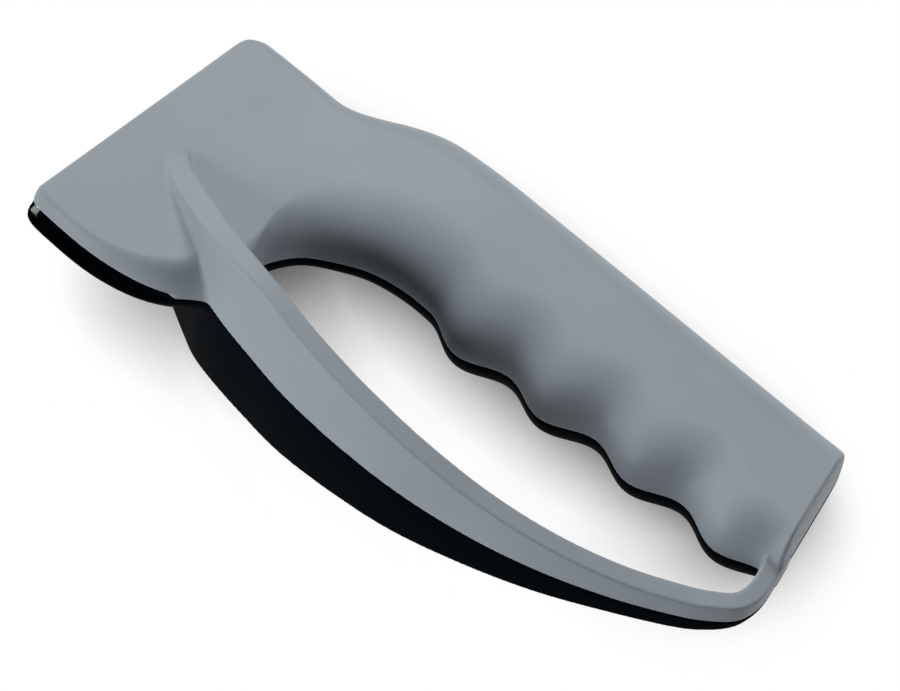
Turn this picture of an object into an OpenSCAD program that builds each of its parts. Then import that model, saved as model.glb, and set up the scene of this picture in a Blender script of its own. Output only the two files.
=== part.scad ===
// Hand-held knife sharpener with a D-shaped handle and a full finger guard.
// Two moulded half shells meet on a mid-plane and hold a pair of crossed carbide cutters.
// In the shells' own frame X runs from the head to the butt, Y from the guard to the back
// of the handle, and Z up through the upper shell, with the mid-plane at zero.
// The whole tool then leans on its guard and on the back of its handle, as it lies on a table.

/* [Body] */
// Length from the front of the head to the tail of the guard
body_l = 138; // [120:1:160]
// Width from the working edge of the head to the back of the handle
body_w = 66; // [58:1:74]
// Thickness of the head across both shells
head_t = 10.4; // [10:0.2:13]
// Thickness of the handle across both shells
grip_t = 18; // [16:0.5:22]

/* [Finger grooves] */
// Distance between two finger ridges
finger_pitch = 17.9; // [16:0.1:19]
// Height of a ridge above the grooves
finger_depth = 3.1; // [1:0.1:3.5]

/* [Guard] */
// Height of the guard across both shells, from its lowest to its highest point
guard_h = 36; // [32:1:42]
// Thickness of the guard
guard_wall = 3.5; // [3:0.1:4]
// Thickness of the guard where it meets the butt
tail_wall = 3.1; // [2.8:0.1:3.5]
// How far the rims stand back from the middle of the guard's outer face
guard_bow = 0.7; // [0:0.1:1.4]

/* [Blade slot] */
// Width of the slot's mouth at the working edge
mouth_w = 5.4; // [4.4:0.1:6]
// Width of the slot at its floor
slot_w = 1.8; // [1.4:0.1:2.6]
// Depth of the slot behind the working edge
slot_depth = 6; // [5:0.1:7]

/* [Cutters] */
// Length of a carbide blade
cutter_l = 11; // [10:0.5:12]
// Width of a carbide blade
cutter_w = 2.4; // [2:0.1:2.6]
// Thickness of a carbide blade
cutter_t = 1.4; // [1:0.1:1.6]
// Lean of each blade from the mid-plane, half of the V's angle
cutter_lean = 20; // [16:1:21]

/* [Fasteners] */
// Diameter of a shell screw's shank
screw_d = 3; // [2.5:0.1:3.2]
// Diameter of a shell screw's head
screw_head_d = 5.6; // [5:0.1:6]
// Height of a shell screw's head
screw_head_h = 1.8; // [1.4:0.1:2]
// Diameter of the dowels that place the cutter holder
holder_dowel_d = 2; // [1.5:0.1:2.2]
// Diameter of the dowels in the grip
grip_dowel_d = 2.5; // [2:0.1:3]
// Diameter of the dowels in the guard
guard_dowel_d = 1.6; // [1.2:0.1:1.8]

/* [Hidden] */

// Half sizes
head_half = head_t / 2;
grip_half = grip_t / 2;
guard_half = guard_h / 2;

// Clearances between pieces, and the overrun of a cut past a face
fit_gap = 0.05;
pocket_gap = 0.15;
overrun = 2;

// Front of the head and level of the working edge
front_x = -0.4935 * body_l;
edge_y = -0.5 * body_w;

// The body's ribs run from the low side, along the working edge and the hand opening, to the
// high side along the back. Each row holds the low end's x and y and the high end's x and y as
// shares of the body's length and width, then as shares of the grip's half thickness the
// rounding radius of the upper half's low side, of both halves' high side and of the lower
// half's low side. The upper half's corner is drawn back from the lower one's, so that the
// ends of the blades show.
upper_corner_shares = [
    [0.016, 0.086, 0.000, 0.765, 0.20, 0.45, 0.39],
    [0.020, 0.034, 0.005, 0.820, 0.20, 0.45, 0.39],
    [0.030, 0.007, 0.024, 0.852, 0.21, 0.45, 0.39]
];
lower_corner_shares = [
    [0.006, 0.072, 0.000, 0.765, 0.22, 0.45, 0.39],
    [0.009, 0.030, 0.005, 0.820, 0.22, 0.45, 0.39],
    [0.025, 0.005, 0.024, 0.852, 0.22, 0.45, 0.39]
];
body_shares = [
    [0.060, 0.000, 0.044, 0.856, 0.22, 0.45, 0.39],
    [0.109, 0.000, 0.058, 0.857, 0.24, 0.45, 0.45],
    [0.149, 0.010, 0.068, 0.857, 0.28, 0.45, 0.55],
    [0.189, 0.034, 0.078, 0.857, 0.36, 0.45, 0.70],
    [0.221, 0.070, 0.088, 0.857, 0.50, 0.45, 0.90],
    [0.249, 0.125, 0.100, 0.857, 0.72, 0.45, 1.00],
    [0.274, 0.176, 0.116, 0.857, 0.95, 0.47, 1.05],
    [0.276, 0.229, 0.134, 0.857, 1.12, 0.50, 1.10],
    [0.267, 0.289, 0.153, 0.859, 1.30, 0.56, 1.20],
    [0.266, 0.346, 0.176, 0.872, 1.45, 0.62, 1.40],
    [0.284, 0.424, 0.205, 0.905, 1.55, 0.74, 1.55],
    [0.315, 0.480, 0.243, 0.953, 1.60, 0.88, 1.60],
    [0.358, 0.531, 0.287, 0.988, 1.58, 1.00, 1.60],
    [0.414, 0.554, 0.350, 0.998, 1.52, 1.05, 1.55],
    [0.486, 0.551, 0.443, 0.999, 1.46, 1.05, 1.45],
    [0.573, 0.557, 0.544, 1.000, 1.40, 1.05, 1.45],
    [0.660, 0.572, 0.638, 1.000, 1.34, 1.05, 1.45],
    [0.747, 0.587, 0.732, 1.000, 1.28, 1.05, 1.45],
    [0.834, 0.598, 0.820, 1.000, 1.20, 1.05, 1.45],
    [0.906, 0.602, 0.886, 0.999, 1.00, 1.00, 1.40],
    [0.957, 0.600, 0.912, 0.995, 0.75, 0.85, 1.30],
    [0.971, 0.600, 0.924, 0.984, 0.65, 0.65, 1.20],
    [0.977, 0.600, 0.931, 0.958, 0.60, 0.45, 1.10]
];
upper_ribs = concat(upper_corner_shares, body_shares);
lower_ribs = concat(lower_corner_shares, body_shares);
upper_low_round = 4;
lower_low_round = 6;
high_round = 5;
last_rib = len(upper_ribs) - 1;

// Places between ribs where the body has a section, closer together at both ends
body_steps = concat(
    [0, 0.2, 0.45, 0.75, 1.1, 1.5, 2, 2.5, 3],
    [for (i = [7:32]) i / 2],
    [for (i = [1:30]) 16 + i / 5],
    [22.3, 22.6, 22.9, 23.2, 23.5, 23.75, 24, 24.25, 24.5, 24.7, 24.85, 25]
);

// Number of spans in a section: low rounding, flat and high rounding
low_spans = 5;
flat_spans = 2;
high_spans = 4;
section_points = low_spans + flat_spans + high_spans;

// Rounding of the head's front and of each half's butt, and where the upright land ends
front_round = 0.2 * grip_half;
upper_butt_round = 0.12 * grip_half;
lower_butt_round = 0.8 * grip_half;
land_share = 0.01;

// Where the head's flat face ends and the grip's full thickness begins
ramp_start = front_x + 0.1 * body_l;
ramp_end = front_x + 0.43 * body_l;

// Place of the first ridge and the number of ridges
first_ridge = front_x + 0.508 * body_l;
ridge_count = 4;

// The guard's outer face: x and y as shares of the body's length and width, then the heights of
// the upper rim's outer and inner edge and of the lower rim's outer and inner edge as shares of
// half the guard's height, and the wall as a share of the way from the guard's to the tail's.
guard_shares = [
    [0.068, 0.380, 0.250, 0.215, 1.000, 0.980, 0],
    [0.092, 0.337, 0.325, 0.350, 1.060, 1.040, 0],
    [0.124, 0.290, 0.390, 0.440, 1.090, 1.070, 0],
    [0.164, 0.247, 0.480, 0.565, 1.095, 1.075, 0],
    [0.204, 0.204, 0.622, 0.705, 1.082, 1.060, 0],
    [0.243, 0.162, 0.775, 0.815, 1.022, 1.005, 0],
    [0.290, 0.132, 0.867, 0.882, 0.955, 0.945, 0],
    [0.348, 0.109, 0.905, 0.888, 0.907, 0.905, 0],
    [0.421, 0.086, 0.845, 0.842, 0.838, 0.838, 0],
    [0.508, 0.079, 0.743, 0.747, 0.721, 0.721, 0],
    [0.602, 0.090, 0.617, 0.628, 0.595, 0.595, 0],
    [0.697, 0.126, 0.479, 0.481, 0.440, 0.440, 0],
    [0.784, 0.183, 0.355, 0.356, 0.325, 0.325, 0],
    [0.863, 0.258, 0.257, 0.265, 0.227, 0.227, 0],
    [0.930, 0.341, 0.210, 0.220, 0.185, 0.190, 0],
    [0.9605, 0.391, 0.205, 0.210, 0.150, 0.190, 0.4],
    [0.980, 0.437, 0.198, 0.208, 0.100, 0.190, 0.9],
    [0.987, 0.484, 0.185, 0.202, 0.060, 0.180, 1],
    [0.986, 0.537, 0.175, 0.200, 0.050, 0.180, 1],
    [0.978, 0.602, 0.170, 0.200, 0.050, 0.180, 1],
    [0.969, 0.665, 0.170, 0.200, 0.050, 0.180, 1]
];
upper_edges = [2, 3];
lower_edges = [4, 5];
wall_share = 6;
last_guard = len(guard_shares) - 1;
guard_steps = [for (i = [0:3 * last_guard]) i / 3];

// Rounding of the guard's two rim edges
rim_round = 0.1 * guard_wall;

// The V-shaped mouth runs from the front of the head to the root of the guard
slot_floor = edge_y + slot_depth;
mouth_start = front_x - overrun;
mouth_end = front_x + 0.25 * body_l;
mouth_slope = (mouth_w - slot_w) / 2 / slot_depth;

// The two blades stand side by side behind the head's front wall and cross at the V's point
front_wall = 0.25 * head_t;
cutter_x = front_x + front_wall;
vee_y = slot_floor - 0.3 * slot_depth;
cutter_ahead = 0.25 * cutter_l;

// The block that holds the blades, and the wall of the shells over it
holder_wall = 0.35 * head_half;
dowel_wall = 1.1;
holder_half = head_half - holder_wall;
holder_l = 2 * cutter_t + holder_dowel_d + 2 * dowel_wall;
holder_front = vee_y - 0.08 * cutter_l;
holder_back = vee_y + 0.9 * cutter_l;

// The holder's dowels stand behind the blades and end short of the shells' skin
holder_dowel_x = cutter_x + 2 * cutter_t + dowel_wall + holder_dowel_d / 2;
holder_dowel_half = holder_half + 0.5 * holder_wall;
holder_dowel_y = [slot_floor + 0.12 * cutter_l, slot_floor + 0.55 * cutter_l];

// Hollows of the grip, cut from the mid-plane, in two steps that follow the outer skin
hollow_start = front_x + 0.4 * body_l;
hollow_end = front_x + 0.885 * body_l;
wide_low = edge_y + 0.66 * body_w;
wide_high = edge_y + 0.93 * body_w;
wide_deep = 0.42 * grip_half;
narrow_low = edge_y + 0.72 * body_w;
narrow_high = edge_y + 0.89 * body_w;
narrow_deep = 0.74 * grip_half;
step_in = 0.03 * body_l;
hollow_round = 0.25 * grip_half;

// Hollow of the head, behind the cutter holder
head_hollow_start = front_x + 0.11 * body_l;
head_hollow_end = front_x + 0.19 * body_l;
head_hollow_low = edge_y + 0.36 * body_w;
head_hollow_deep = 0.5 * head_half;

// Wall of the bosses round screws and dowels
boss_wall = 1.6;

// Places of the fasteners
grip_line = edge_y + 0.8 * body_w;
front_screw_x = hollow_start + 0.1 * body_l;
rear_screw_x = hollow_end - 0.06 * body_l;
head_screw_x = front_x + 0.15 * body_l;
head_screw_y = edge_y + 0.66 * body_w;
head_hollow_high = head_screw_y - screw_head_d / 2 - 2 * pocket_gap - boss_wall;
grip_dowel_x = [front_screw_x + 0.1 * body_l, rear_screw_x - 0.1 * body_l];
guard_dowel_u = [7, 9.5, 12];

// Reach of the dowels into each half
grip_dowel_half = 0.6 * grip_half;
guard_dowel_half = 0.25 * guard_half;

// The screw heads' seats, the ends of the shanks and the depth of the drive recess
grip_seat = 0.55 * grip_half;
grip_reach = 0.6 * grip_half;
head_seat = 0.4 * head_half;
head_reach = 0.62 * head_half;
drive_w = 0.16 * screw_head_d;
drive_l = 0.6 * screw_head_d;
drive_deep = 0.6 * screw_head_h;

// Values of one row between its neighbours, on a smooth curve through all rows
function smooth(a, b, c, d, f) =
    b + 0.5 * f * (c - a + f * (2 * a - 5 * b + 4 * c - d + f * (3 * (b - c) + d - a)));
function row_at(rows, u) =
    let (last = len(rows) - 1, i = min(floor(u), last - 1))
    smooth(rows[max(i - 1, 0)], rows[i], rows[i + 1], rows[min(i + 2, last)], u - i);

// Share of the way from 0 to 1, eased at both ends
function ease(f) = let (g = min(max(f, 0), 1)) g * g * (3 - 2 * g);

// Height share of a quarter-round edge at a distance from its start, with a low upright land
function round_share(d, r) = let (f = min(max(d / r, land_share), 1)) sqrt(f * (2 - f));

// How far the ridges stand into the hand opening at x
function ridge_reach(x) =
    let (f = (x - first_ridge) / finger_pitch)
    f < -0.5 || f > ridge_count - 0.5 ? 0 : finger_depth * pow(cos(180 * f), 2);

// Half thickness of the body at x
function half_at(x) =
    head_half + (grip_half - head_half) * ease((x - ramp_start) / (ramp_end - ramp_start));

function low_end(row) =
    let (x = front_x + row[0] * body_l) [x, edge_y + row[1] * body_w - ridge_reach(x)];
function high_end(row) = [front_x + row[2] * body_l, edge_y + row[3] * body_w];

// Points of one section of the body, from the low side over the top to the high side
function section(ribs, u, low_round, butt_round) =
    let (row = row_at(ribs, u), low = low_end(row), high = high_end(row))
    let (span = norm(high - low), way = (high - low) / span)
    let (low_r = row[low_round] * grip_half, high_r = row[high_round] * grip_half)
    let (flat = (span - low_r - high_r) / flat_spans)
    let (first = ribs[0], last = ribs[last_rib])
    let (first_low = low_end(first), first_high = high_end(first))
    let (last_low = low_end(last), last_high = high_end(last))
    [
        for (k = [0:section_points])
            let (low_a = 90 * min(k / low_spans, 1))
            let (high_a = 90 * min((section_points - k) / high_spans, 1))
            let (middle = min(max(k - low_spans, 0), flat_spans))
            let (d = low_r * (1 - cos(low_a)) + flat * middle + high_r * cos(high_a))
            let (p = low + way * d, f = d / span)
            let (front = first_low + (first_high - first_low) * f)
            let (butt = last_low + (last_high - last_low) * f)
            let (ends = round_share(p.x - front.x, front_round) * round_share(butt.x - p.x, butt_round))
            [p.x, p.y, half_at(p.x) * sin(low_a) * sin(high_a) * ends]
    ];

// Points of one section of the guard, from its outer side over the rim to its inner side
function guard_section(u, edges) =
    let (row = row_at(guard_shares, u), du = 0.01)
    let (a = row_at(guard_shares, max(u - du, 0)))
    let (b = row_at(guard_shares, min(u + du, last_guard)))
    let (along = [(b[0] - a[0]) * body_l, (b[1] - a[1]) * body_w])
    let (side = [-along.y, along.x] / norm(along))
    let (x = front_x + row[0] * body_l, y = edge_y + row[1] * body_w)
    let (h = row[edges[0]] * guard_half, rise = row[edges[1]] * guard_half - h)
    let (wall = guard_wall + (tail_wall - guard_wall) * row[wall_share])
    let (r = min(rim_round, h / 2), bow = guard_bow * h / guard_half)
    let (arcs = [0:30:90])
    let (outer = [for (f = [0, 0.3, 0.6, 0.85]) [bow * f * f, (h - r) * f]])
    let (near = [for (a = arcs) [bow + r - r * cos(a), h - r + r * sin(a)]])
    let (far = [for (a = arcs) [bow + wall - r + r * sin(a), h + rise - r + r * cos(a)]])
    [
        for (q = concat(outer, near, far, [[bow + wall, 0]]))
            [x + side.x * q[0], y + side.y * q[0], q[1]]
    ];

// All points of both halves' outer skin, for finding how the tool lies
upper_skin = [for (u = body_steps) section(upper_ribs, u, upper_low_round, upper_butt_round)];
lower_skin = [for (u = body_steps) section(lower_ribs, u, lower_low_round, lower_butt_round)];
upper_guard_skin = [for (u = guard_steps) guard_section(u, upper_edges)];
lower_guard_skin = [for (u = guard_steps) guard_section(u, lower_edges)];

// Lowest point of a mirrored skin when the guard's side is raised by an angle
function lowest(skin, a) = min([for (row = skin) for (p = row) -p.z * cos(a) - p.y * sin(a)]);

// The angle at which the guard's rim and the handle's back touch the table together
function lean_between(low, high, n) =
    let (a = (low + high) / 2)
    n == 0 ? a :
    lowest(lower_guard_skin, a) < lowest(lower_skin, a) ? lean_between(a, high, n - 1) :
    lean_between(low, a, n - 1);
lean = lean_between(0, 30, 14);
lift = -lowest(lower_guard_skin, lean);

// Lays a piece down as the tool lies on the table
module lay() {
    translate([0, 0, lift]) rotate([-lean, 0, 0]) children();
}

// Point inside a ring, between the two ends of its base and the middle of its top
function inside(ring) =
    let (n = len(ring))
    (ring[0] + ring[n - 1] + ring[floor(n / 2)]) / 3;

// Closed loft through rows of points that start and end on the mid-plane, with a flat base
module loft(rows) {
    n = len(rows[0]);
    low = [for (row = rows) [row[0].x, row[0].y, -overrun]];
    high = [for (row = rows) [row[n - 1].x, row[n - 1].y, -overrun]];
    rings = [for (i = [0:len(rows) - 1]) concat([low[i]], rows[i], [high[i]])];
    m = n + 2;
    last = len(rows) - 1;
    points = concat([for (ring = rings) each ring], [inside(rings[0]), inside(rings[last])]);
    count = len(points);
    sides = [
        for (i = [0:last - 1])
            for (k = [0:m - 1])
                let (a = i * m + k, b = i * m + (k + 1) % m)
                each [[a, b, b + m], [a, b + m, a + m]]
    ];
    start = [for (k = [0:m - 1]) [count - 2, (k + 1) % m, k]];
    end = [for (k = [0:m - 1]) [count - 1, last * m + k, last * m + (k + 1) % m]];
    polyhedron(points = points, faces = concat(sides, start, end));
}

// Outer form of one half, standing on the mid-plane, with the blade slot cut along its edge
module half_blank(body_skin, guard_skin) {
    difference() {
        union() {
            loft(body_skin);
            loft(guard_skin);
        }
        translate([front_x - overrun, edge_y - overrun, -2 * overrun])
            cube([body_l + 2 * overrun, body_w + 2 * overrun, 2 * overrun]);
        mouth();
    }
}

// Space between the two halves for the knife
module mouth() {
    floor_half = slot_w / 2;
    lip_half = mouth_w / 2 + overrun * mouth_slope;
    translate([mouth_start, 0, 0])
        rotate([90, 0, 90])
            linear_extrude(mouth_end - mouth_start)
                polygon([
                    [edge_y - overrun, -lip_half], [slot_floor, -floor_half],
                    [slot_floor, floor_half], [edge_y - overrun, lip_half]
                ]);
}

// A carbide blade whose long edge crosses the mid-plane at the V's point, grown by a gap
module blade(gap) {
    translate([-gap, vee_y, 0])
        rotate([-cutter_lean, 0, 0])
            translate([0, -cutter_ahead - gap, -gap])
                cube([cutter_t + 2 * gap, cutter_l + 2 * gap, cutter_w + 2 * gap]);
}

module blades(gap) {
    translate([cutter_x, 0, 0]) mirror([0, 0, 1]) blade(gap);
    translate([cutter_x + cutter_t, 0, 0]) blade(gap);
}

// The cutter holder's block, grown by a gap
module holder_block(gap) {
    translate([cutter_x - gap, holder_front - gap, -holder_half - gap])
        cube([holder_l + 2 * gap, holder_back - holder_front + 2 * gap, 2 * (holder_half + gap)]);
}

// Pins along Z through the mid-plane, grown by a gap
module pin(x, y, d, half, gap) {
    translate([x, y, -half - gap]) cylinder(h = 2 * (half + gap), d = d + 2 * gap, $fn = 40);
}

module holder_pins(gap) {
    for (y = holder_dowel_y) pin(holder_dowel_x, y, holder_dowel_d, holder_dowel_half, gap);
}

module grip_pins(gap) {
    for (x = grip_dowel_x) pin(x, grip_line, grip_dowel_d, grip_dowel_half, gap);
}

module guard_pins(gap) {
    for (u = guard_dowel_u)
        let (ring = guard_section(u, upper_edges), c = (ring[0] + ring[len(ring) - 1]) / 2)
            pin(c.x, c.y, guard_dowel_d, guard_dowel_half, gap);
}

// Box with rounded upright edges that stands on the mid-plane
module pocket(x0, x1, y0, y1, deep, r) {
    translate([0, 0, -overrun]) linear_extrude(deep + overrun) {
        translate([x0 + r, y0]) square([x1 - x0 - 2 * r, y1 - y0]);
        translate([x0, y0 + r]) square([x1 - x0, y1 - y0 - 2 * r]);
        for (x = [x0 + r, x1 - r]) for (y = [y0 + r, y1 - r]) translate([x, y]) circle(r = r, $fn = 32);
    }
}

module boss(x, y, d) {
    translate([x, y, -2 * overrun])
        cylinder(h = grip_half + 2 * overrun, r = d / 2 + boss_wall, $fn = 40);
}

// Hollows of one half, standing on the mid-plane, with a boss left round each fastener
module hollows(screw_boss_d) {
    difference() {
        union() {
            pocket(hollow_start, hollow_end, wide_low, wide_high, wide_deep, hollow_round);
            pocket(hollow_start + step_in, hollow_end - step_in, narrow_low, narrow_high, narrow_deep,
                hollow_round);
        }
        for (x = [front_screw_x, rear_screw_x]) boss(x, grip_line, screw_boss_d);
        for (x = grip_dowel_x) boss(x, grip_line, grip_dowel_d);
    }
    pocket(head_hollow_start, head_hollow_end, head_hollow_low, head_hollow_high, head_hollow_deep,
        hollow_round);
}

// Space that both halves keep for the pieces between them
module inner_space() {
    holder_block(pocket_gap);
    blades(pocket_gap);
    holder_pins(fit_gap);
    grip_pins(fit_gap);
    guard_pins(fit_gap);
}

// A screw's space in both halves: pilot, clearance, seat and counterbore
module screw_space(x, y, seat, reach) {
    translate([x, y, -seat - screw_head_h])
        cylinder(h = screw_head_h + seat + reach + fit_gap, d = screw_d + 2 * fit_gap, $fn = 40);
    translate([x, y, -seat - grip_half])
        cylinder(h = grip_half, d = screw_head_d + 2 * pocket_gap, $fn = 48);
}

module screw_spaces() {
    screw_space(head_screw_x, head_screw_y, head_seat, head_reach);
    for (x = [front_screw_x, rear_screw_x]) screw_space(x, grip_line, grip_seat, grip_reach);
}

// Pan-head screw whose head sits under the seat, with a cross recess
module screw(x, y, seat, reach) {
    r = screw_d / 2;
    head_r = screw_head_d / 2;
    edge = 0.3 * screw_head_h;
    translate([x, y, 0]) difference() {
        rotate_extrude($fn = 48)
            polygon([
                [0, -seat - screw_head_h], [head_r - edge, -seat - screw_head_h],
                [head_r, -seat - screw_head_h + edge], [head_r, -seat], [r, -seat],
                [r, reach - r], [r / 3, reach], [0, reach]
            ]);
        for (a = [0, 90])
            rotate([0, 0, a])
                translate([-drive_l / 2, -drive_w / 2, -seat - screw_head_h - overrun])
                    cube([drive_l, drive_w, overrun + drive_deep]);
    }
}

module upper_shell() {
    color("slategray") lay() difference() {
        half_blank(upper_skin, upper_guard_skin);
        hollows(screw_d);
        inner_space();
        screw_spaces();
    }
}

module lower_shell() {
    color([0.08, 0.08, 0.09]) lay() difference() {
        mirror([0, 0, 1]) half_blank(lower_skin, lower_guard_skin);
        mirror([0, 0, 1]) hollows(screw_head_d);
        inner_space();
        screw_spaces();
    }
}

module cutter_holder() {
    color("dimgray") lay() difference() {
        holder_block(0);
        mouth();
        blades(fit_gap);
        holder_pins(fit_gap);
    }
}

module upper_cutter() {
    color("silver") lay() translate([cutter_x + cutter_t, 0, 0]) blade(0);
}

module lower_cutter() {
    color("silver") lay() translate([cutter_x, 0, 0]) mirror([0, 0, 1]) blade(0);
}

module holder_dowels() {
    color("gainsboro") lay() holder_pins(0);
}

module grip_dowels() {
    color("gainsboro") lay() grip_pins(0);
}

module guard_dowels() {
    color("gainsboro") lay() guard_pins(0);
}

module head_screw() {
    color("gray") lay() screw(head_screw_x, head_screw_y, head_seat, head_reach);
}

module front_grip_screw() {
    color("gray") lay() screw(front_screw_x, grip_line, grip_seat, grip_reach);
}

module rear_grip_screw() {
    color("gray") lay() screw(rear_screw_x, grip_line, grip_seat, grip_reach);
}

upper_shell();
lower_shell();
cutter_holder();
upper_cutter();
lower_cutter();
holder_dowels();
grip_dowels();
guard_dowels();
head_screw();
front_grip_screw();
rear_grip_screw();
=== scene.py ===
import math

import bmesh
import bpy
import numpy as np
import openvdb
from mathutils import Matrix, Vector


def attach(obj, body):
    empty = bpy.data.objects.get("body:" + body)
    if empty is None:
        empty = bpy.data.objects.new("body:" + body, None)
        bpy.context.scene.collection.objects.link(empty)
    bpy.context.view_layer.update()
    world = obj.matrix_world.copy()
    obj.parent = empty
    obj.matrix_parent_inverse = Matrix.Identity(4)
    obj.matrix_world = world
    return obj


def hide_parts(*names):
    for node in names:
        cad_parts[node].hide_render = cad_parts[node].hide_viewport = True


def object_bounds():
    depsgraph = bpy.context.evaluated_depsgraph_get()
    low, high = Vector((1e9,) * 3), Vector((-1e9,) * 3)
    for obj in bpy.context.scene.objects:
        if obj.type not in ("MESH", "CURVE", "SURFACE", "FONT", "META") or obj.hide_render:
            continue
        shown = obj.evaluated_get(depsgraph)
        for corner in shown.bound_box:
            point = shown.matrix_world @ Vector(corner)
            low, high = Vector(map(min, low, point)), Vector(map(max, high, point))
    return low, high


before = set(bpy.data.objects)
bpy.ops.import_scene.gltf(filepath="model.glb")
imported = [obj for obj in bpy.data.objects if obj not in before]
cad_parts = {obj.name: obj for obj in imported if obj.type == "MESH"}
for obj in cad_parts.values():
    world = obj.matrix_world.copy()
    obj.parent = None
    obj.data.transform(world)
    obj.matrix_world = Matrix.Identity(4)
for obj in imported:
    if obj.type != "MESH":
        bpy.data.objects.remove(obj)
cad_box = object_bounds()

# Sizes, in millimetres
BODY_L, BODY_W = 138.0, 66.0
HEAD_HALF, GRIP_HALF, GUARD_HALF = 5.2, 9.0, 18.0
FRONT_X, EDGE_Y = -0.4935 * BODY_L, -0.5 * BODY_W
FINGER_PITCH, FINGER_DEPTH, RIDGES = 17.9, 3.1, 4
FIRST_RIDGE = FRONT_X + 0.508 * BODY_L
GUARD_WALL, TAIL_WALL, GUARD_BOW = 3.5, 3.1, 0.7
RIM_ROUND = 0.1 * GUARD_WALL
MOUTH_W, SLOT_W, SLOT_DEPTH = 5.4, 1.8, 6.0
SLOT_FLOOR = EDGE_Y + SLOT_DEPTH
MOUTH_END = FRONT_X + 0.25 * BODY_L
FRONT_ROUND, LAND = 0.2 * GRIP_HALF, 0.01
UPPER_BUTT, LOWER_BUTT = 0.12 * GRIP_HALF, 0.8 * GRIP_HALF
RAMP_START, RAMP_END = FRONT_X + 0.1 * BODY_L, FRONT_X + 0.43 * BODY_L
CUTTER_L, CUTTER_W, CUTTER_T, CUTTER_LEAN = 11.0, 2.4, 1.4, math.radians(20)
CUTTER_X = FRONT_X + 0.5 * HEAD_HALF
CUTTER_AHEAD = 0.25 * CUTTER_L
VEE_Y = SLOT_FLOOR - 0.3 * SLOT_DEPTH
# The holder's reach to both sides of the mid-plane and of the V's point, and past the blades
HOLDER_HALF, HOLDER_AHEAD, HOLDER_BEHIND = 0.65 * HEAD_HALF, 0.08 * CUTTER_L, 0.9 * CUTTER_L
HOLDER_TAIL = 4.2
POCKET_GAP, FIT_GAP = 0.15, 0.05
LEAN, LIFT = math.radians(16.5335), 15.7623
MM = 0.001

# Ribs of the body, as shares: low end x, y, high end x, y, then the rounding radii of the upper
# half's low side, of both halves' high side and of the lower half's low side
UPPER_CORNER = [
    [0.016, 0.086, 0.000, 0.765, 0.20, 0.45, 0.39], [0.020, 0.034, 0.005, 0.820, 0.20, 0.45, 0.39],
    [0.030, 0.007, 0.024, 0.852, 0.21, 0.45, 0.39]]
LOWER_CORNER = [
    [0.006, 0.072, 0.000, 0.765, 0.22, 0.45, 0.39], [0.009, 0.030, 0.005, 0.820, 0.22, 0.45, 0.39],
    [0.025, 0.005, 0.024, 0.852, 0.22, 0.45, 0.39]]
BODY = [
    [0.060, 0.000, 0.044, 0.856, 0.22, 0.45, 0.39], [0.109, 0.000, 0.058, 0.857, 0.24, 0.45, 0.45],
    [0.149, 0.010, 0.068, 0.857, 0.28, 0.45, 0.55], [0.189, 0.034, 0.078, 0.857, 0.36, 0.45, 0.70],
    [0.221, 0.070, 0.088, 0.857, 0.50, 0.45, 0.90], [0.249, 0.125, 0.100, 0.857, 0.72, 0.45, 1.00],
    [0.274, 0.176, 0.116, 0.857, 0.95, 0.47, 1.05], [0.276, 0.229, 0.134, 0.857, 1.12, 0.50, 1.10],
    [0.267, 0.289, 0.153, 0.859, 1.30, 0.56, 1.20], [0.266, 0.346, 0.176, 0.872, 1.45, 0.62, 1.40],
    [0.284, 0.424, 0.205, 0.905, 1.55, 0.74, 1.55], [0.315, 0.480, 0.243, 0.953, 1.60, 0.88, 1.60],
    [0.358, 0.531, 0.287, 0.988, 1.58, 1.00, 1.60], [0.414, 0.554, 0.350, 0.998, 1.52, 1.05, 1.55],
    [0.486, 0.551, 0.443, 0.999, 1.46, 1.05, 1.45], [0.573, 0.557, 0.544, 1.000, 1.40, 1.05, 1.45],
    [0.660, 0.572, 0.638, 1.000, 1.34, 1.05, 1.45], [0.747, 0.587, 0.732, 1.000, 1.28, 1.05, 1.45],
    [0.834, 0.598, 0.820, 1.000, 1.20, 1.05, 1.45], [0.906, 0.602, 0.886, 0.999, 1.00, 1.00, 1.40],
    [0.957, 0.600, 0.912, 0.995, 0.75, 0.85, 1.30], [0.971, 0.600, 0.924, 0.984, 0.65, 0.65, 1.20],
    [0.977, 0.600, 0.931, 0.958, 0.60, 0.45, 1.10]]
UPPER_LOW, HIGH_SIDE, LOWER_LOW = 4, 5, 6

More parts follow.
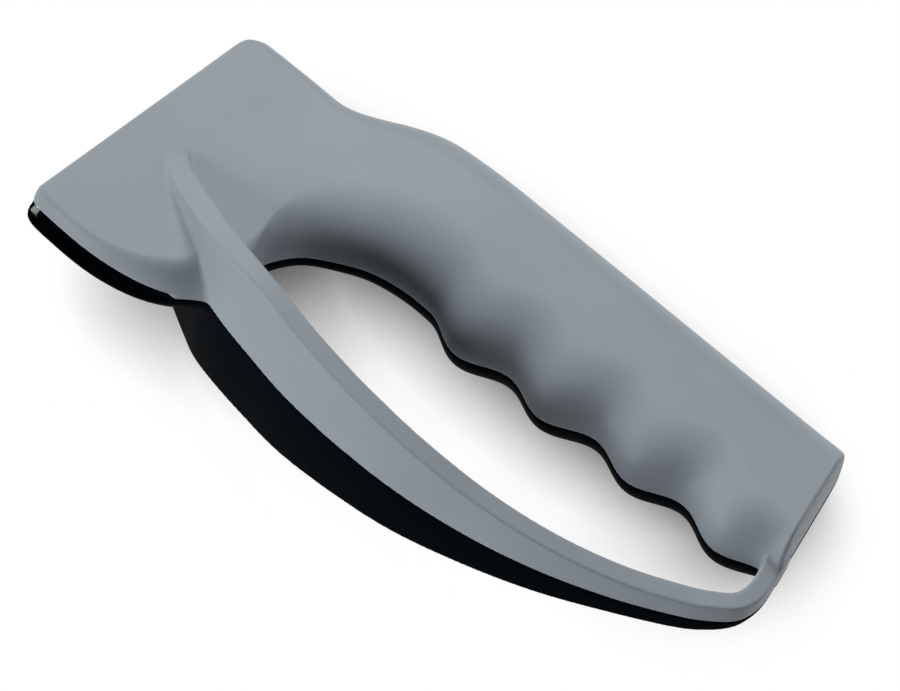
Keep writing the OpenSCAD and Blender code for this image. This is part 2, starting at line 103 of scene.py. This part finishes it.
# The guard: x, y, heights of the upper rim's outer and inner edge and of the lower rim's, wall
GUARD = [
    [0.068, 0.380, 0.250, 0.215, 1.000, 0.980, 0], [0.092, 0.337, 0.325, 0.350, 1.060, 1.040, 0],
    [0.124, 0.290, 0.390, 0.440, 1.090, 1.070, 0], [0.164, 0.247, 0.480, 0.565, 1.095, 1.075, 0],
    [0.204, 0.204, 0.622, 0.705, 1.082, 1.060, 0], [0.243, 0.162, 0.775, 0.815, 1.022, 1.005, 0],
    [0.290, 0.132, 0.867, 0.882, 0.955, 0.945, 0], [0.348, 0.109, 0.905, 0.888, 0.907, 0.905, 0],
    [0.421, 0.086, 0.845, 0.842, 0.838, 0.838, 0], [0.508, 0.079, 0.743, 0.747, 0.721, 0.721, 0],
    [0.602, 0.090, 0.617, 0.628, 0.595, 0.595, 0], [0.697, 0.126, 0.479, 0.481, 0.440, 0.440, 0],
    [0.784, 0.183, 0.355, 0.356, 0.325, 0.325, 0], [0.863, 0.258, 0.257, 0.265, 0.227, 0.227, 0],
    [0.930, 0.341, 0.210, 0.220, 0.185, 0.190, 0], [0.9605, 0.391, 0.205, 0.210, 0.150, 0.190, 0.4],
    [0.980, 0.437, 0.198, 0.208, 0.100, 0.190, 0.9], [0.987, 0.484, 0.185, 0.202, 0.060, 0.180, 1],
    [0.986, 0.537, 0.175, 0.200, 0.050, 0.180, 1], [0.978, 0.602, 0.170, 0.200, 0.050, 0.180, 1],
    [0.969, 0.665, 0.170, 0.200, 0.050, 0.180, 1]]
UPPER_EDGES, LOWER_EDGES, WALL = (2, 3), (4, 5), 6

# Sections along the body and the guard, and points of a section: low rounding, flat and high
# rounding of the body, and each rounded edge of the guard's rim
BODY_SECTIONS, GUARD_SECTIONS = 620, 480
BODY_POINTS, RIM_POINTS = (28, 40, 20), 9
# The step, in rows, over which the guard's direction is taken, and how far a loft reaches past
# the mid-plane before it is cut there
NEXT, DROP = 0.01, 6


def to_world(points):
    """Points of the shells' own frame, in mm, laid down as the tool lies, in metres."""
    p = np.atleast_2d(np.asarray(points, float))
    c, s = math.cos(LEAN), math.sin(LEAN)
    return np.c_[p[:, 0], p[:, 1] * c + p[:, 2] * s, -p[:, 1] * s + p[:, 2] * c + LIFT] * MM


def rows_at(rows, u):
    """Smooth curve through rows of numbers, at many places at once."""
    rows = np.asarray(rows, float)
    last = len(rows) - 1
    i = np.clip(np.floor(u).astype(int), 0, last - 1)
    f = (u - i)[:, None]
    a, b = rows[np.maximum(i - 1, 0)], rows[i]
    c, d = rows[i + 1], rows[np.minimum(i + 2, last)]
    return b + 0.5 * f * (c - a + f * (2 * a - 5 * b + 4 * c - d + f * (3 * (b - c) + d - a)))


def ease(f):
    """Share of the way from 0 to 1, eased at both ends."""
    g = np.clip(f, 0, 1)
    return g * g * (3 - 2 * g)


def ridge_reach(x):
    """How far the finger ridges stand into the hand opening at x."""
    f = (x - FIRST_RIDGE) / FINGER_PITCH
    return np.where((f < -0.5) | (f > RIDGES - 0.5), 0, FINGER_DEPTH * np.cos(np.pi * f) ** 2)


def half_at(x):
    """Half thickness of the body at x."""
    return HEAD_HALF + (GRIP_HALF - HEAD_HALF) * ease((x - RAMP_START) / (RAMP_END - RAMP_START))


def round_share(d, r):
    """Height share of a quarter-round edge at a distance from its start."""
    f = np.clip(d / r, LAND, 1)
    return np.sqrt(f * (2 - f))


def body_rings(ribs, low_side, butt_round, u):
    """Sections of the body, from its low side over the top to its high side."""
    low_n, flat_n, high_n = BODY_POINTS
    row = rows_at(ribs, u)
    low_x = FRONT_X + row[:, 0] * BODY_L
    low = np.c_[low_x, EDGE_Y + row[:, 1] * BODY_W - ridge_reach(low_x)]
    high = np.c_[FRONT_X + row[:, 2] * BODY_L, EDGE_Y + row[:, 3] * BODY_W]
    span = np.linalg.norm(high - low, axis=1)
    way = (high - low) / span[:, None]
    low_r, high_r = row[:, low_side] * GRIP_HALF, row[:, HIGH_SIDE] * GRIP_HALF
    flat = span - low_r - high_r
    low_a = np.r_[np.linspace(0, np.pi / 2, low_n + 1), np.full(flat_n + high_n, np.pi / 2)]
    high_a = np.r_[np.full(low_n + flat_n, np.pi / 2), np.linspace(np.pi / 2, 0, high_n + 1)]
    middle = np.r_[np.zeros(low_n), np.linspace(0, 1, flat_n + 1), np.ones(high_n)]
    d = (low_r[:, None] * (1 - np.cos(low_a)) + flat[:, None] * middle
         + high_r[:, None] * np.cos(high_a))
    xy = low[:, None, :] + way[:, None, :] * d[:, :, None]
    f = d / span[:, None]
    front = low[0, 0] + (high[0, 0] - low[0, 0]) * f
    butt = low[-1, 0] + (high[-1, 0] - low[-1, 0]) * f
    ends = round_share(xy[:, :, 0] - front, FRONT_ROUND) * round_share(butt - xy[:, :, 0], butt_round)
    z = half_at(xy[:, :, 0]) * np.sin(low_a) * np.sin(high_a) * ends
    return np.dstack([xy, z])


def guard_rings(edges, u):
    """Sections of the guard, from its outer side over the rim to its inner side."""
    last = len(GUARD) - 1
    row = rows_at(GUARD, u)
    a = rows_at(GUARD, np.maximum(u - NEXT, 0))
    b = rows_at(GUARD, np.minimum(u + NEXT, last))
    along = np.c_[(b[:, 0] - a[:, 0]) * BODY_L, (b[:, 1] - a[:, 1]) * BODY_W]
    side = np.c_[-along[:, 1], along[:, 0]] / np.linalg.norm(along, axis=1)[:, None]
    x, y = FRONT_X + row[:, 0] * BODY_L, EDGE_Y + row[:, 1] * BODY_W
    h = row[:, edges[0]] * GUARD_HALF
    top = row[:, edges[1]] * GUARD_HALF
    wall = GUARD_WALL + (TAIL_WALL - GUARD_WALL) * row[:, WALL]
    r = np.minimum(RIM_ROUND, h / 2)
    bow = GUARD_BOW * h / GUARD_HALF
    turn = np.linspace(0, np.pi / 2, RIM_POINTS)
    climb = np.linspace(0, 0.95, 16)
    ring = [(bow * f * f, (h - r) * f) for f in climb]
    ring += [(bow + r - r * np.cos(t), h - r + r * np.sin(t)) for t in turn]
    ring += [(bow + wall - r + r * np.sin(t), top - r + r * np.cos(t)) for t in turn]
    ring += [(bow + wall, (top - r) * f) for f in climb[::-1]]
    return np.stack([np.c_[x + side[:, 0] * q, y + side[:, 1] * q, z] for q, z in ring], axis=1)


def closed_loft(rings):
    """Points and faces of rings that start and end on the mid-plane, closed below it."""
    n, m = rings.shape[:2]
    low, high = rings[:, 0].copy(), rings[:, -1].copy()
    low[:, 2] = high[:, 2] = -DROP
    pts = np.concatenate([low[:, None], rings, high[:, None]], axis=1)
    m += 2
    k = np.arange(m)
    after = (k + 1) % m
    quads = [np.c_[i * m + k, i * m + after, (i + 1) * m + after, (i + 1) * m + k]
             for i in range(n - 1)]
    fan = np.arange(1, m - 1)
    start = np.c_[np.zeros_like(fan), fan + 1, fan]
    end = (n - 1) * m + np.c_[np.zeros_like(fan), fan, fan + 1]
    return pts.reshape(-1, 3), np.concatenate(quads), np.concatenate([start, end])


# Distance fields of the shells: a cell's size, the cells of the band and the room round the form
CELL = 0.25
BAND = 7
ROOM = 3.0
LOW = np.array([FRONT_X - ROOM, EDGE_Y - ROOM, -ROOM])
HIGH = np.array([-FRONT_X + ROOM, -EDGE_Y + ROOM, GUARD_HALF + ROOM])
FIRST = np.floor(LOW / CELL).astype(int)
COUNT = np.ceil(HIGH / CELL).astype(int) - FIRST + 1
XS, YS, ZS = [(FIRST[i] + np.arange(COUNT[i])) * CELL for i in range(3)]
X, Y, Z = XS[:, None, None], YS[None, :, None], ZS[None, None, :]

# Softness of the guard's roots, of the slot's edges and of the parting edge, and the distance of
# each half's parting face from the mid-plane
ROOT_SOFT, MOUTH_SOFT, PARTING_SOFT, PARTING_GAP = 0.9, 0.5, 0.3, 0.0002


def field_of(loft):
    """Distance to a closed loft's surface at every cell, in mm, below zero inside."""
    pts, quads, tris = loft
    grid = openvdb.FloatGrid.createLevelSetFromPolygons(
        pts.astype(np.float32), triangles=tris.astype(np.uint32), quads=quads.astype(np.uint32),
        transform=openvdb.createLinearTransform(voxelSize=CELL), halfWidth=BAND)
    out = np.empty(tuple(COUNT), np.float32)
    grid.copyToArray(out, ijk=tuple(int(v) for v in FIRST))
    return out


def join_soft(a, b, k):
    """Union of two fields with a fillet."""
    h = np.maximum(k - np.abs(a - b), 0) / k
    return np.minimum(a, b) - h * h * k / 4


def meet_soft(a, b, k):
    """What two fields have in common, with a rounded edge."""
    return -join_soft(-a, -b, k)


def surface_of(field):
    """Points and faces of the surface where a field is zero."""
    grid = openvdb.FloatGrid(background=float(BAND * CELL))
    grid.copyFromArray(field.astype(np.float32), ijk=tuple(int(v) for v in FIRST))
    grid.transform = openvdb.createLinearTransform(voxelSize=CELL)
    grid.gridClass = openvdb.GridClass.LEVEL_SET
    pts, tris, quads = grid.convertToPolygons(isovalue=0.0, adaptivity=0.0)
    faces = [tuple(map(int, face)) for part in (quads, tris) for face in part]
    return np.asarray(pts, float), faces


def pin_field(x, y, r):
    """Field of an endless upright pin."""
    return np.sqrt((X - x) ** 2 + (Y - y) ** 2) - r + 0 * Z


def pocket_field(x0, x1, y0, y1, deep):
    """Field of a pocket with round corners, open at the mid-plane."""
    r = HOLLOW_ROUND
    qx = np.abs(X - (x0 + x1) / 2) - (x1 - x0) / 2 + r
    qy = np.abs(Y - (y0 + y1) / 2) - (y1 - y0) / 2 + r
    corner = np.sqrt(np.maximum(qx, 0) ** 2 + np.maximum(qy, 0) ** 2)
    return np.maximum(corner + np.minimum(np.maximum(qx, qy), 0) - r, Z - deep)


# The grip's hollow, and the line of its fasteners
HOLLOW_0, HOLLOW_1 = FRONT_X + 0.4 * BODY_L, FRONT_X + 0.885 * BODY_L
HOLLOW_STEP, HOLLOW_ROUND = 0.03 * BODY_L, 0.25 * GRIP_HALF
GRIP_LINE = EDGE_Y + 0.8 * BODY_W

# Screws of the head and the grip: x, y, depth of the head's seat and reach of the shank
SCREWS = [(FRONT_X + 0.15 * BODY_L, EDGE_Y + 0.66 * BODY_W, 0.4 * HEAD_HALF, 0.62 * HEAD_HALF),
          (HOLLOW_0 + 0.1 * BODY_L, GRIP_LINE, 0.55 * GRIP_HALF, 0.6 * GRIP_HALF),
          (HOLLOW_1 - 0.06 * BODY_L, GRIP_LINE, 0.55 * GRIP_HALF, 0.6 * GRIP_HALF)]
SCREW_R, SCREW_HEAD_R, GRIP_DOWEL_R, BOSS_WALL = 1.5, 2.8, 1.25, 1.6
DOWEL_SHIFT = 0.1 * BODY_L

# Pockets: x from and to, y from and to, height over the mid-plane
HEAD_HOLLOW_GAP = 1.9
WIDE_HOLLOW = (HOLLOW_0, HOLLOW_1,
               EDGE_Y + 0.66 * BODY_W, EDGE_Y + 0.93 * BODY_W, 0.42 * GRIP_HALF)
HIGH_HOLLOW = (HOLLOW_0 + HOLLOW_STEP, HOLLOW_1 - HOLLOW_STEP,
               EDGE_Y + 0.72 * BODY_W, EDGE_Y + 0.89 * BODY_W, 0.74 * GRIP_HALF)
HEAD_HOLLOW = (FRONT_X + 0.11 * BODY_L, FRONT_X + 0.19 * BODY_L, EDGE_Y + 0.36 * BODY_W,
               SCREWS[0][1] - SCREW_HEAD_R - HEAD_HOLLOW_GAP, 0.5 * HEAD_HALF)


def half_field(ribs, low_side, butt_round, edges, screw_boss_r):
    """Field of one half shell, standing on the mid-plane, with its slot and hollows."""
    u = np.linspace(0, len(ribs) - 1, BODY_SECTIONS)
    body = field_of(closed_loft(body_rings(ribs, low_side, butt_round, u)))
    v = np.linspace(0, len(GUARD) - 1, GUARD_SECTIONS)
    guard = field_of(closed_loft(guard_rings(edges, v)))
    field = join_soft(body, guard, ROOT_SOFT)
    slope = (MOUTH_W - SLOT_W) / 2 / SLOT_DEPTH
    groove = (np.abs(Z) - SLOT_W / 2 - (SLOT_FLOOR - Y) * slope) * math.cos(math.atan(slope))
    mouth = np.maximum(np.maximum(groove, Y - SLOT_FLOOR), X - MOUTH_END)
    field = meet_soft(field, -mouth, MOUTH_SOFT)
    hollow = np.minimum(pocket_field(*WIDE_HOLLOW), pocket_field(*HIGH_HOLLOW))
    for x, y, _, _ in SCREWS[1:]:
        hollow = np.maximum(hollow, -pin_field(x, y, screw_boss_r + BOSS_WALL))
    for x in (SCREWS[1][0] + DOWEL_SHIFT, SCREWS[2][0] - DOWEL_SHIFT):
        hollow = np.maximum(hollow, -pin_field(x, GRIP_LINE, GRIP_DOWEL_R + BOSS_WALL))
    field = np.maximum(field, -np.minimum(hollow, pocket_field(*HEAD_HOLLOW)))
    return meet_soft(field, PARTING_GAP - Z + 0 * field, PARTING_SOFT)


def mesh_object(name, points, faces, smooth=True):
    """A mesh object in the scene, from points in metres and faces."""
    mesh = bpy.data.meshes.new(name)
    mesh.from_pydata([tuple(p) for p in points], [], faces)
    mesh.validate()
    mesh.update()
    if smooth:
        mesh.polygons.foreach_set("use_smooth", [True] * len(mesh.polygons))
    obj = bpy.data.objects.new(name, mesh)
    bpy.context.scene.collection.objects.link(obj)
    return obj


def outward(obj):
    """Turns all faces of an object to the outside."""
    bm = bmesh.new()
    bm.from_mesh(obj.data)
    bmesh.ops.recalc_face_normals(bm, faces=bm.faces)
    bm.to_mesh(obj.data)
    bm.free()


def turned_cutter(profile, centre):
    """Closed solid of revolution about Z at a centre, in the shells' frame."""
    pts, faces = [], []
    n, sides = len(profile), 64
    for k in range(sides):
        t = 2 * math.pi * k / sides
        for r, z in profile:
            pts.append((centre[0] + r * math.cos(t), centre[1] + r * math.sin(t), z))
    for k in range(sides):
        a, b = k * n, ((k + 1) % sides) * n
        for i in range(n - 1):
            faces.append((a + i, b + i, b + i + 1, a + i + 1))
    faces.append([k * n for k in range(sides)][::-1])
    faces.append([k * n + n - 1 for k in range(sides)])
    return pts, faces


def solid_box(lo, hi):
    """Points and faces of a box between two corners."""
    p = [(x, y, z) for x in (lo[0], hi[0]) for y in (lo[1], hi[1]) for z in (lo[2], hi[2])]
    return p, [(0, 1, 3, 2), (4, 6, 7, 5), (0, 4, 5, 1), (2, 3, 7, 6), (0, 2, 6, 4), (1, 5, 7, 3)]


def cut(obj, solids):
    """Takes closed solids that don't touch each other out of an object."""
    pts, faces = [], []
    for p, f in solids:
        faces += [tuple(i + len(pts) for i in face) for face in f]
        pts += list(p)
    tool = mesh_object("cut", to_world(pts), faces, smooth=False)
    outward(tool)
    mod = obj.modifiers.new("cut", "BOOLEAN")
    mod.operation, mod.object, mod.solver = "DIFFERENCE", tool, "MANIFOLD"
    graph = bpy.context.evaluated_depsgraph_get()
    new = bpy.data.meshes.new_from_object(obj.evaluated_get(graph))
    if not len(new.vertices):
        mod.solver = "EXACT"
        graph = bpy.context.evaluated_depsgraph_get()
        new = bpy.data.meshes.new_from_object(obj.evaluated_get(graph))
    obj.modifiers.clear()
    old = obj.data
    obj.data = new
    bpy.data.meshes.remove(old)
    bpy.data.objects.remove(tool)


def blade_solid(x, flip, gap):
    """The room of one leaning blade, with a clearance all round."""
    p, f = solid_box((x - gap, -CUTTER_AHEAD - gap, -gap),
                     (x + CUTTER_T + gap, CUTTER_L - CUTTER_AHEAD + gap, CUTTER_W + gap))
    p = np.array(p)
    c, s = math.cos(-CUTTER_LEAN), math.sin(-CUTTER_LEAN)
    y, z = p[:, 1] * c - p[:, 2] * s + VEE_Y, p[:, 1] * s + p[:, 2] * c
    return np.c_[p[:, 0], y, -z if flip else z], f


def make_shell(name, form, flip):
    """One half shell, with the pocket, the bores and the blades' slots cut out."""
    points, faces = surface_of(half_field(*form))
    if flip:
        points = points * (1, 1, -1)
    # The finer surface would pass the CAD model's box by up to 0.06 mm, and is held inside it
    obj = mesh_object(name, np.clip(to_world(points), cad_box[0], cad_box[1]), faces)
    outward(obj)
    g = POCKET_GAP
    holder = solid_box(
        (CUTTER_X - g, VEE_Y - HOLDER_AHEAD - g, -HOLDER_HALF - g),
        (CUTTER_X + 2 * CUTTER_T + HOLDER_TAIL + g, VEE_Y + HOLDER_BEHIND + g, HOLDER_HALF + g))
    shank_r, head_r = SCREW_R + FIT_GAP, SCREW_HEAD_R + g
    bores = []
    for x, y, seat, reach in SCREWS:
        bores.append(turned_cutter([
            (head_r, -seat - GRIP_HALF), (head_r, -seat), (shank_r, -seat),
            (shank_r, reach + FIT_GAP)], (x, y)))
    cut(obj, [holder] + bores)
    cut(obj, [blade_solid(CUTTER_X, True, g)])
    cut(obj, [blade_solid(CUTTER_X + CUTTER_T, False, g)])
    return obj


# Materials
def new_material(name):
    """A material with its nodes, its links and its main shader."""
    mat = bpy.data.materials.new(name)
    mat.use_nodes = True
    nodes, links = mat.node_tree.nodes, mat.node_tree.links
    return mat, nodes, links, nodes["Principled BSDF"]


def plastic(name, colour, rough, shine, coarse, fine, bump):
    """Moulded plastic: slight unevenness of tone and gloss, and a fine spark-eroded grain."""
    mat, nodes, links, bsdf = new_material(name)
    coord = nodes.new("ShaderNodeTexCoord")
    cloud = nodes.new("ShaderNodeTexNoise")
    cloud.inputs["Scale"].default_value = coarse
    cloud.inputs["Detail"].default_value = 3
    links.new(coord.outputs["Object"], cloud.inputs["Vector"])
    tone = nodes.new("ShaderNodeValToRGB")
    tone.color_ramp.elements[0].color = [c * 0.965 for c in colour] + [1]
    tone.color_ramp.elements[1].color = [min(c * 1.035, 1) for c in colour] + [1]
    tone.color_ramp.elements[0].position, tone.color_ramp.elements[1].position = 0.3, 0.7
    links.new(cloud.outputs["Fac"], tone.inputs["Fac"])
    links.new(tone.outputs["Color"], bsdf.inputs["Base Color"])
    gloss = nodes.new("ShaderNodeMapRange")
    gloss.inputs["To Min"].default_value = rough - 0.03
    gloss.inputs["To Max"].default_value = rough + 0.04
    links.new(cloud.outputs["Fac"], gloss.inputs["Value"])
    links.new(gloss.outputs["Result"], bsdf.inputs["Roughness"])
    grain = nodes.new("ShaderNodeTexNoise")
    grain.inputs["Scale"].default_value = fine
    grain.inputs["Detail"].default_value = 4
    links.new(coord.outputs["Object"], grain.inputs["Vector"])
    relief = nodes.new("ShaderNodeBump")
    relief.inputs["Strength"].default_value = bump
    relief.inputs["Distance"].default_value = 0.00004
    links.new(grain.outputs["Fac"], relief.inputs["Height"])
    links.new(relief.outputs["Normal"], bsdf.inputs["Normal"])
    bsdf.inputs["IOR"].default_value = 1.5
    bsdf.inputs["Specular IOR Level"].default_value = shine
    return mat


def metal(name, colour, rough, stretch, bump):
    """Ground steel or carbide: fine lines along one way, with uneven gloss."""
    mat, nodes, links, bsdf = new_material(name)
    coord = nodes.new("ShaderNodeTexCoord")
    place = nodes.new("ShaderNodeMapping")
    place.inputs["Scale"].default_value = stretch
    links.new(coord.outputs["Object"], place.inputs["Vector"])
    lines = nodes.new("ShaderNodeTexNoise")
    lines.inputs["Scale"].default_value = 900
    lines.inputs["Detail"].default_value = 5
    links.new(place.outputs["Vector"], lines.inputs["Vector"])
    tone = nodes.new("ShaderNodeValToRGB")
    tone.color_ramp.elements[0].color = [c * 0.85 for c in colour] + [1]
    tone.color_ramp.elements[1].color = [min(c * 1.1, 1) for c in colour] + [1]
    links.new(lines.outputs["Fac"], tone.inputs["Fac"])
    links.new(tone.outputs["Color"], bsdf.inputs["Base Color"])
    gloss = nodes.new("ShaderNodeMapRange")
    gloss.inputs["To Min"].default_value = rough - 0.06
    gloss.inputs["To Max"].default_value = rough + 0.1
    links.new(lines.outputs["Fac"], gloss.inputs["Value"])
    links.new(gloss.outputs["Result"], bsdf.inputs["Roughness"])
    relief = nodes.new("ShaderNodeBump")
    relief.inputs["Strength"].default_value = bump
    relief.inputs["Distance"].default_value = 0.00003
    links.new(lines.outputs["Fac"], relief.inputs["Height"])
    links.new(relief.outputs["Normal"], bsdf.inputs["Normal"])
    bsdf.inputs["Metallic"].default_value = 1.0
    return mat


GREY = plastic("grey_plastic", (0.268, 0.305, 0.338), 0.5, 0.15, 60, 2600, 0.2)
BLACK = plastic("black_plastic", (0.001, 0.002, 0.003), 0.5, 0.004, 60, 2600, 0.2)
HOLDER = plastic("holder_plastic", (0.012, 0.012, 0.013), 0.55, 0.3, 120, 3000, 0.4)
CARBIDE = metal("ground_carbide", (0.55, 0.56, 0.57), 0.4, (1, 14, 14), 0.3)
PIN = metal("pin_steel", (0.60, 0.60, 0.61), 0.3, (10, 10, 1), 0.2)
SCREW = metal("screw_steel", (0.36, 0.36, 0.37), 0.34, (1, 1, 1), 0.3)


def dress(piece, mat):
    """Gives a piece one material in place of its own."""
    piece.data.materials.clear()
    piece.data.materials.append(mat)


# The object
upper_form = (UPPER_CORNER + BODY, UPPER_LOW, UPPER_BUTT, UPPER_EDGES, SCREW_R)
upper = make_shell("grey_half_shell", upper_form, False)
dress(upper, GREY)
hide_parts("upper_shell")
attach(upper, "root")

lower_form = (LOWER_CORNER + BODY, LOWER_LOW, LOWER_BUTT, LOWER_EDGES, SCREW_HEAD_R)
lower = make_shell("black_half_shell", lower_form, True)
dress(lower, BLACK)
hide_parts("lower_shell")
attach(lower, "root")

for node, mat in (("cutter_holder", HOLDER), ("upper_cutter", CARBIDE), ("lower_cutter", CARBIDE),
                  ("holder_dowels", PIN), ("grip_dowels", PIN), ("guard_dowels", PIN),
                  ("head_screw", SCREW), ("front_grip_screw", SCREW), ("rear_grip_screw", SCREW)):
    dress(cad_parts[node], mat)

# The camera looks at the tool as in the photograph, where the mid-plane leans by SEEN_LEAN
AZ, EL, AWAY, SEEN_LEAN = math.radians(44), math.radians(60.8), 0.6, math.radians(12.4319)
PICTURE_W, SENSOR_W, PIXELS_PER_M = 900, 36, 6100
SHIFT = 10 / PICTURE_W
TARGET = Vector((-0.001035, 0, LIFT * MM))
back = Vector((math.sin(AZ) * math.cos(EL), -math.cos(AZ) * math.cos(EL), math.sin(EL)))
turn = Matrix.Rotation(SEEN_LEAN - LEAN, 4, "X")
camera = bpy.data.objects.new("camera", bpy.data.cameras.new("camera"))
bpy.context.scene.collection.objects.link(camera)
camera.matrix_world = (Matrix.Translation(TARGET) @ turn @ Matrix.Translation(back * AWAY)
                       @ back.to_track_quat("Z", "Y").to_matrix().to_4x4())
camera.data.sensor_width = SENSOR_W
camera.data.lens = PIXELS_PER_M * AWAY / PICTURE_W * SENSOR_W
camera.data.shift_x = SHIFT
camera.data.clip_start, camera.data.clip_end = 0.01, 20
bpy.context.scene.camera = camera

# The floor, which lies a tenth of a millimetre under the tool's lowest point
FAR, UNDER = 3, -1e-4
corners = [(-FAR, -FAR, UNDER), (FAR, -FAR, UNDER), (FAR, FAR, UNDER), (-FAR, FAR, UNDER)]
floor = mesh_object("floor", corners, [(0, 1, 2, 3)], smooth=False)
mat, nodes, links, bsdf = new_material("floor")
bsdf.inputs["Base Color"].default_value = (0.12, 0.12, 0.12, 1)
bsdf.inputs["Roughness"].default_value = 0.9
bsdf.inputs["Specular IOR Level"].default_value = 0.0

# White paper to the eye, with a painted shadow: the paper's glow is darkened by how much of the tool
# stands within a short reach above each point, an ambient-occlusion estimate whose leaning normal
# shifts it to one side, in place of a lamp's shadow
painted_shadow_reach = nodes.new("ShaderNodeAmbientOcclusion")
painted_shadow_reach.samples = 24
painted_shadow_reach.inputs["Distance"].default_value = 0.024
painted_shadow_reach.inputs["Normal"].default_value = (-0.25, 0.3, 0.92)
# The ramp turns that occlusion into the painted shadow's tone, from dark grey up to white
painted_shadow_tone = nodes.new("ShaderNodeValToRGB")
painted_shadow_tone.color_ramp.elements[0].position, painted_shadow_tone.color_ramp.elements[1].position = 0.15, 0.76
painted_shadow_tone.color_ramp.elements[0].color = (0.06, 0.06, 0.06, 1)
links.new(painted_shadow_reach.outputs["AO"], painted_shadow_tone.inputs["Fac"])
paper = nodes.new("ShaderNodeEmission")
links.new(painted_shadow_tone.outputs["Color"], paper.inputs["Color"])
rays = nodes.new("ShaderNodeLightPath")
seen = None
for kind in ("Is Camera Ray", "Is Glossy Ray", "Is Transmission Ray"):
    either = nodes.new("ShaderNodeMath")
    either.operation = "MAXIMUM"
    links.new(rays.outputs[kind], either.inputs[0])
    if seen:
        links.new(seen.outputs[0], either.inputs[1])
    seen = either
mix = nodes.new("ShaderNodeMixShader")
links.new(seen.outputs[0], mix.inputs[0])
links.new(bsdf.outputs[0], mix.inputs[1])
links.new(paper.outputs[0], mix.inputs[2])
links.new(mix.outputs[0], nodes["Material Output"].inputs["Surface"])
floor.data.materials.append(mat)

# A dim world, and lamps of which the first two do most of the work
world = bpy.data.worlds.new("world")
bpy.context.scene.world = world
world.use_nodes = True
ground = world.node_tree.nodes["Background"]
ground.inputs["Color"].default_value = (1, 1, 1, 1)
ground.inputs["Strength"].default_value = 0.02


def lamp(name, place, size, power):
    """A round area lamp that looks at the middle of the tool."""
    light = bpy.data.lights.new(name, "AREA")
    light.shape, light.size, light.energy = "DISK", size, power
    obj = bpy.data.objects.new(name, light)
    bpy.context.scene.collection.objects.link(obj)
    obj.location = place
    obj.rotation_euler = (obj.location - Vector((0, 0, 0.01))).to_track_quat("Z", "Y").to_euler()


lamp("back", (-0.62, 0.93, 0.75), 0.8, 16)
lamp("front", (-0.56, -1.03, 0.62), 0.6, 15)
lamp("butt", (1.0, 0.9, 0.3), 0.6, 5)

bpy.context.scene.view_settings.view_transform = "Standard"
